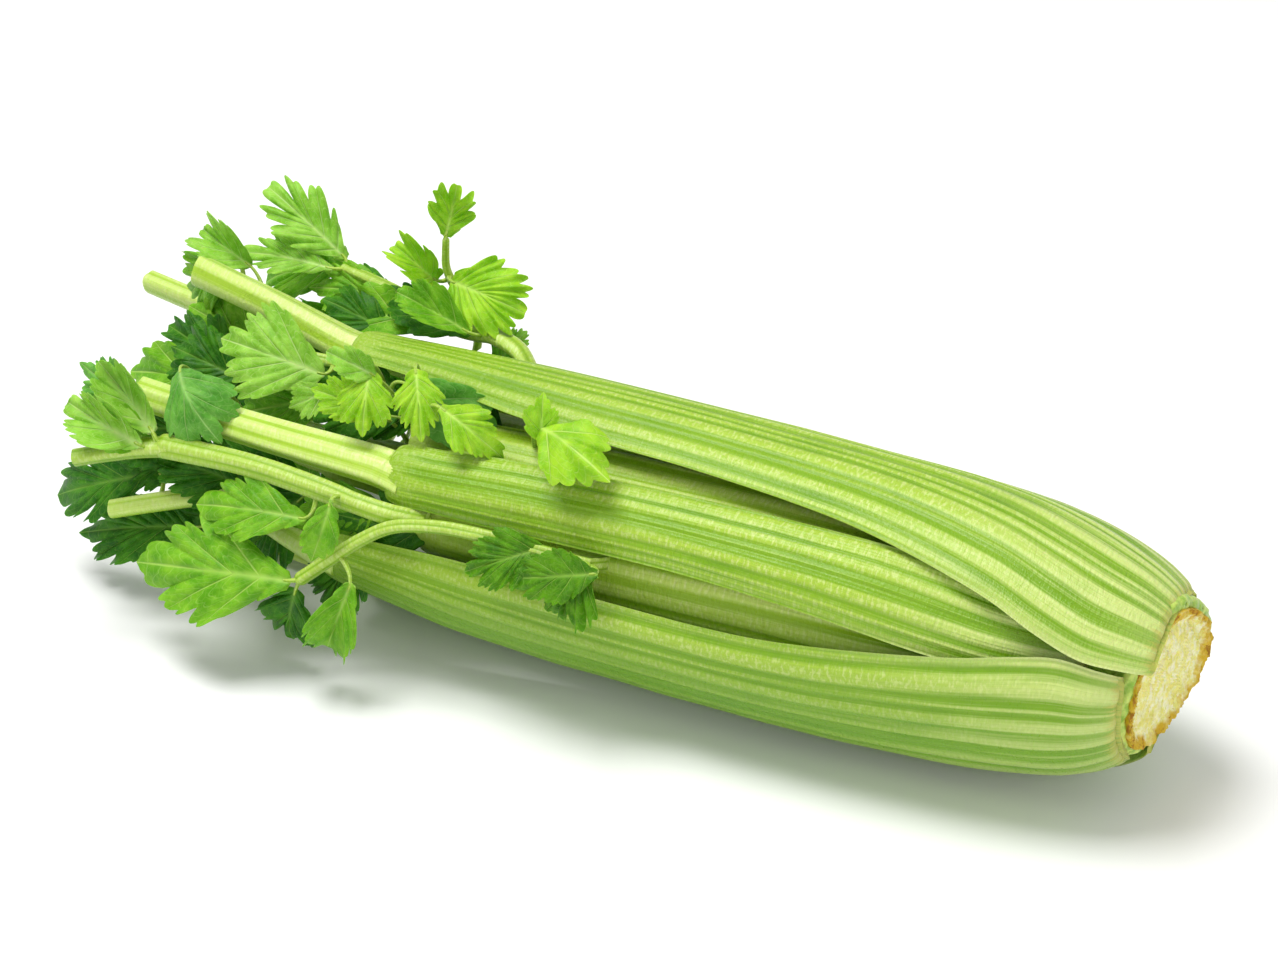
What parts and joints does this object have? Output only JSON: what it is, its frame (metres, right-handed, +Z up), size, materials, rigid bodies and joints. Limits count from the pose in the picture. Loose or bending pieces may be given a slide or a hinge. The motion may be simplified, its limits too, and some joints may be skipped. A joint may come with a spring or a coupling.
{
  "type": "head of celery",
  "caption": "Head of celery lying on its side: ribbed stalks held by a cut crown, with trimmed tops and toothed leaves at the other end.",
  "frame": {"origin": "centre of the head's box, at the bottom: the point of the surface under its middle", "axes": "+X along the head towards the cut crown, +Z up, -Y the side of the large front stalk"},
  "size_m": [0.4008, 0.1412, 0.1388],
  "materials": {
    "outer_stalk": "waxy satin, ribbed lengthwise",
    "inner_stalk": "satin, paler green",
    "heart_stalk": "satin, yellow-green",
    "crown_cut": "matt cut fibre, browned at the rim",
    "leaf_stem": "waxy satin",
    "bright_leaf": "matt with pale veins",
    "dark_leaf": "matt, blue-green with pale veins"
  },
  "bodies": {
    "root": {"crown": "crown_cut", "heart_core": "heart_stalk", "heart_stalk_back": "heart_stalk", "heart_stalk_front": "heart_stalk", "heart_stalk_top": "heart_stalk", "heart_stalk_under": "heart_stalk", "inner_stalk_back": "inner_stalk", "inner_stalk_front": "inner_stalk", "inner_stalk_lower_back": "inner_stalk", "inner_stalk_top": "inner_stalk", "inner_stalk_under": "inner_stalk", "leaf_back_hanging": "bright_leaf", "leaf_back_high": "bright_leaf", "leaf_back_low": "dark_leaf", "leaf_behind_stem": "dark_leaf", "leaf_between": "dark_leaf", "leaf_bright": "bright_leaf", "leaf_centre": "dark_leaf", "leaf_crest_broad": "bright_leaf", "leaf_crest_curled": "bright_leaf", "leaf_crest_low": "bright_leaf", "leaf_crest_tall": "bright_leaf", "leaf_curled_left": "bright_leaf", "leaf_curled_up": "bright_leaf", "leaf_dark_drooping": "dark_leaf", "leaf_dark_left": "dark_leaf", "leaf_dark_low": "dark_leaf", "leaf_dark_middle": "dark_leaf", "leaf_fan": "bright_leaf", "leaf_hanging": "dark_leaf", "leaf_hanging_right": "bright_leaf", "leaf_large_low": "bright_leaf", "leaf_mid_low": "bright_leaf", "leaf_on_front": "bright_leaf", "leaf_pale_small": "bright_leaf", "leaf_ragged": "bright_leaf", "leaf_rear_left": "bright_leaf", "leaf_rear_small": "bright_leaf", "leaf_rear_tall": "bright_leaf", "leaf_stem_back": "leaf_stem", "leaf_stem_tall": "leaf_stem", "leaf_stem_top": "leaf_stem", "leaf_strap": "bright_leaf", "leaf_under": "dark_leaf", "side_stem_front": "leaf_stem", "side_stem_lower": "leaf_stem", "side_stub_front": "leaf_stem", "stalk_back": "outer_stalk", "stalk_front": "outer_stalk", "stalk_lower_back": "outer_stalk", "stalk_lower_front": "outer_stalk", "stalk_top": "outer_stalk", "stalk_under": "outer_stalk", "stub_back": "leaf_stem", "stub_front": "leaf_stem", "stub_lower_back": "leaf_stem", "stub_lower_front": "leaf_stem", "stub_top": "leaf_stem", "stub_under": "leaf_stem"}
  },
  "joints": []
}
